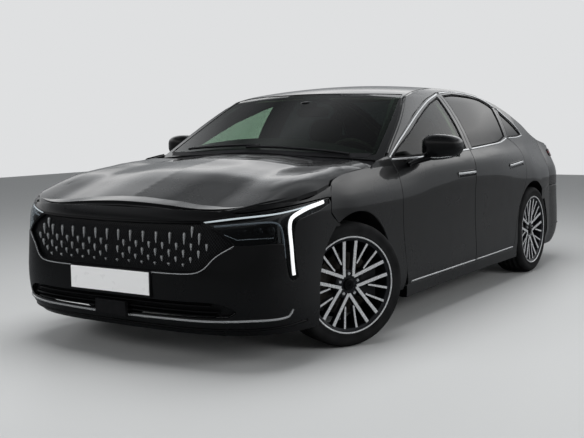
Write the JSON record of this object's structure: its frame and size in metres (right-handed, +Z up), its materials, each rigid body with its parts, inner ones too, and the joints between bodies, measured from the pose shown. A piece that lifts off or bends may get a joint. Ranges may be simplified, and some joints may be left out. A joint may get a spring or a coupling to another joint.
{
  "type": "sedan car",
  "caption": "Full-size four-door sedan car with opening doors, hood and boot lid, steered front wheels, rolling wheels and a hollow cabin with seats",
  "frame": {"origin": "on the ground under the middle of the car's overall box", "axes": "+X to the car's left, the front faces -Y, +Z up"},
  "size_m": [2.209, 4.81, 1.4282],
  "materials": {
    "paint": "gloss black paint under clear coat",
    "structure": "matt black electrocoat",
    "trim_black": "grained black plastic",
    "grille_black": "gloss black plastic with bright drops",
    "lamp": "clear polycarbonate lamp cover",
    "lamp_red": "red lamp cover",
    "glazing": "green tinted safety glass",
    "cabin_trim": "soft dark trim",
    "seat": "dark leather",
    "alloy": "machined faces over dark pockets",
    "tyre": "black rubber",
    "iron": "bare cast iron",
    "steel": "dull steel"
  },
  "bodies": {
    "body": {"side_frame_l": "paint", "side_frame_r": "paint", "fenders": "paint", "headlamps": "lamp", "fixed_glass": "glazing", "floor_pan": "structure", "cowl": "trim_black", "bulkheads": "structure", "roof_panel": "paint", "front_bumper": "paint", "rear_bumper": "paint", "grilles": "grille_black", "tail_lamps": "lamp_red", "front_frame": "structure", "rear_axle": "steel", "wheel_liners": "trim_black", "dashboard": "cabin_trim", "front_seats": "seat", "rear_seat": "seat", "engine_block": "iron", "exhaust": "steel", "rear_corners": "paint"},
    "door_front_l": {"door_front_l": "paint", "glass_front_l": "glazing", "mirror_l": "paint"},
    "door_rear_l": {"door_rear_l": "paint", "glass_rear_l": "glazing"},
    "steering_l": {"knuckle_l": "iron"},
    "wheel_front_l": {"tyre_front_l": "tyre", "rim_front_l": "alloy", "disc_front_l": "iron"},
    "wheel_rear_l": {"tyre_rear_l": "tyre", "rim_rear_l": "alloy", "disc_rear_l": "iron"},
    "door_front_r": {"door_front_r": "paint", "glass_front_r": "glazing", "mirror_r": "paint"},
    "door_rear_r": {"door_rear_r": "paint", "glass_rear_r": "glazing"},
    "steering_r": {"knuckle_r": "iron"},
    "wheel_front_r": {"tyre_front_r": "tyre", "rim_front_r": "alloy", "disc_front_r": "iron"},
    "wheel_rear_r": {"tyre_rear_r": "tyre", "rim_rear_r": "alloy", "disc_rear_r": "iron"},
    "hood": {"hood": "paint"},
    "boot_lid": {"boot_lid": "paint", "boot_lamp": "lamp_red"},
    "steering_wheel": {"steering_wheel": "cabin_trim"}
  },
  "joints": [
    {"name": "door_front_l_hinge", "type": "hinge", "parent": "body", "child": "door_front_l", "pos_m": [0.88121, -0.9054, 0.55], "axis": [0, 0, -1], "range_deg": [0, 66]},
    {"name": "door_rear_l_hinge", "type": "hinge", "parent": "body", "child": "door_rear_l", "pos_m": [0.88389, 0.181, 0.55], "axis": [0, 0, -1], "range_deg": [0, 68]},
    {"name": "steer_l", "type": "hinge", "parent": "body", "child": "steering_l", "pos_m": [0.78, -1.485, 0.331], "axis": [0, 0, 1], "range_deg": [-7, 63]},
    {"name": "wheel_front_l_roll", "type": "hinge", "parent": "steering_l", "child": "wheel_front_l", "pos_m": [0.78, -1.485, 0.331], "axis": [0.8829, -0.4695, 0], "continuous": true},
    {"name": "wheel_rear_l_roll", "type": "hinge", "parent": "body", "child": "wheel_rear_l", "pos_m": [0.7875, 1.315, 0.331], "axis": [1, 0, 0], "continuous": true},
    {"name": "door_front_r_hinge", "type": "hinge", "parent": "body", "child": "door_front_r", "pos_m": [-0.88121, -0.9054, 0.55], "axis": [0, 0, 1], "range_deg": [0, 66]},
    {"name": "door_rear_r_hinge", "type": "hinge", "parent": "body", "child": "door_rear_r", "pos_m": [-0.88389, 0.181, 0.55], "axis": [0, 0, 1], "range_deg": [0, 68]},
    {"name": "steer_r", "type": "hinge", "parent": "body", "child": "steering_r", "pos_m": [-0.78, -1.485, 0.331], "axis": [0, 0, 1], "range_deg": [-7, 63]},
    {"name": "wheel_front_r_roll", "type": "hinge", "parent": "steering_r", "child": "wheel_front_r", "pos_m": [-0.78, -1.485, 0.331], "axis": [0.8829, -0.4695, 0], "continuous": true},
    {"name": "wheel_rear_r_roll", "type": "hinge", "parent": "body", "child": "wheel_rear_r", "pos_m": [-0.7875, 1.315, 0.331], "axis": [1, 0, 0], "continuous": true},
    {"name": "hood_hinge", "type": "hinge", "parent": "body", "child": "hood", "pos_m": [0, -1.1952, 0.9724], "axis": [-1, 0, 0], "range_deg": [0, 45]},
    {"name": "boot_lid_hinge", "type": "hinge", "parent": "body", "child": "boot_lid", "pos_m": [0, 1.78017, 1.07493], "axis": [1, 0, 0], "range_deg": [0, 75]},
    {"name": "steering_wheel_turn", "type": "hinge", "parent": "body", "child": "steering_wheel", "pos_m": [0.37, -0.56, 0.895], "axis": [0, 0.9135, 0.4067], "range_deg": [-105, 945]}
  ],
  "couplings": [
    {"joint": "steer_r", "follows": "steer_l", "ratio": 1},
    {"joint": "steering_wheel_turn", "follows": "steer_l", "ratio": 15}
  ]
}
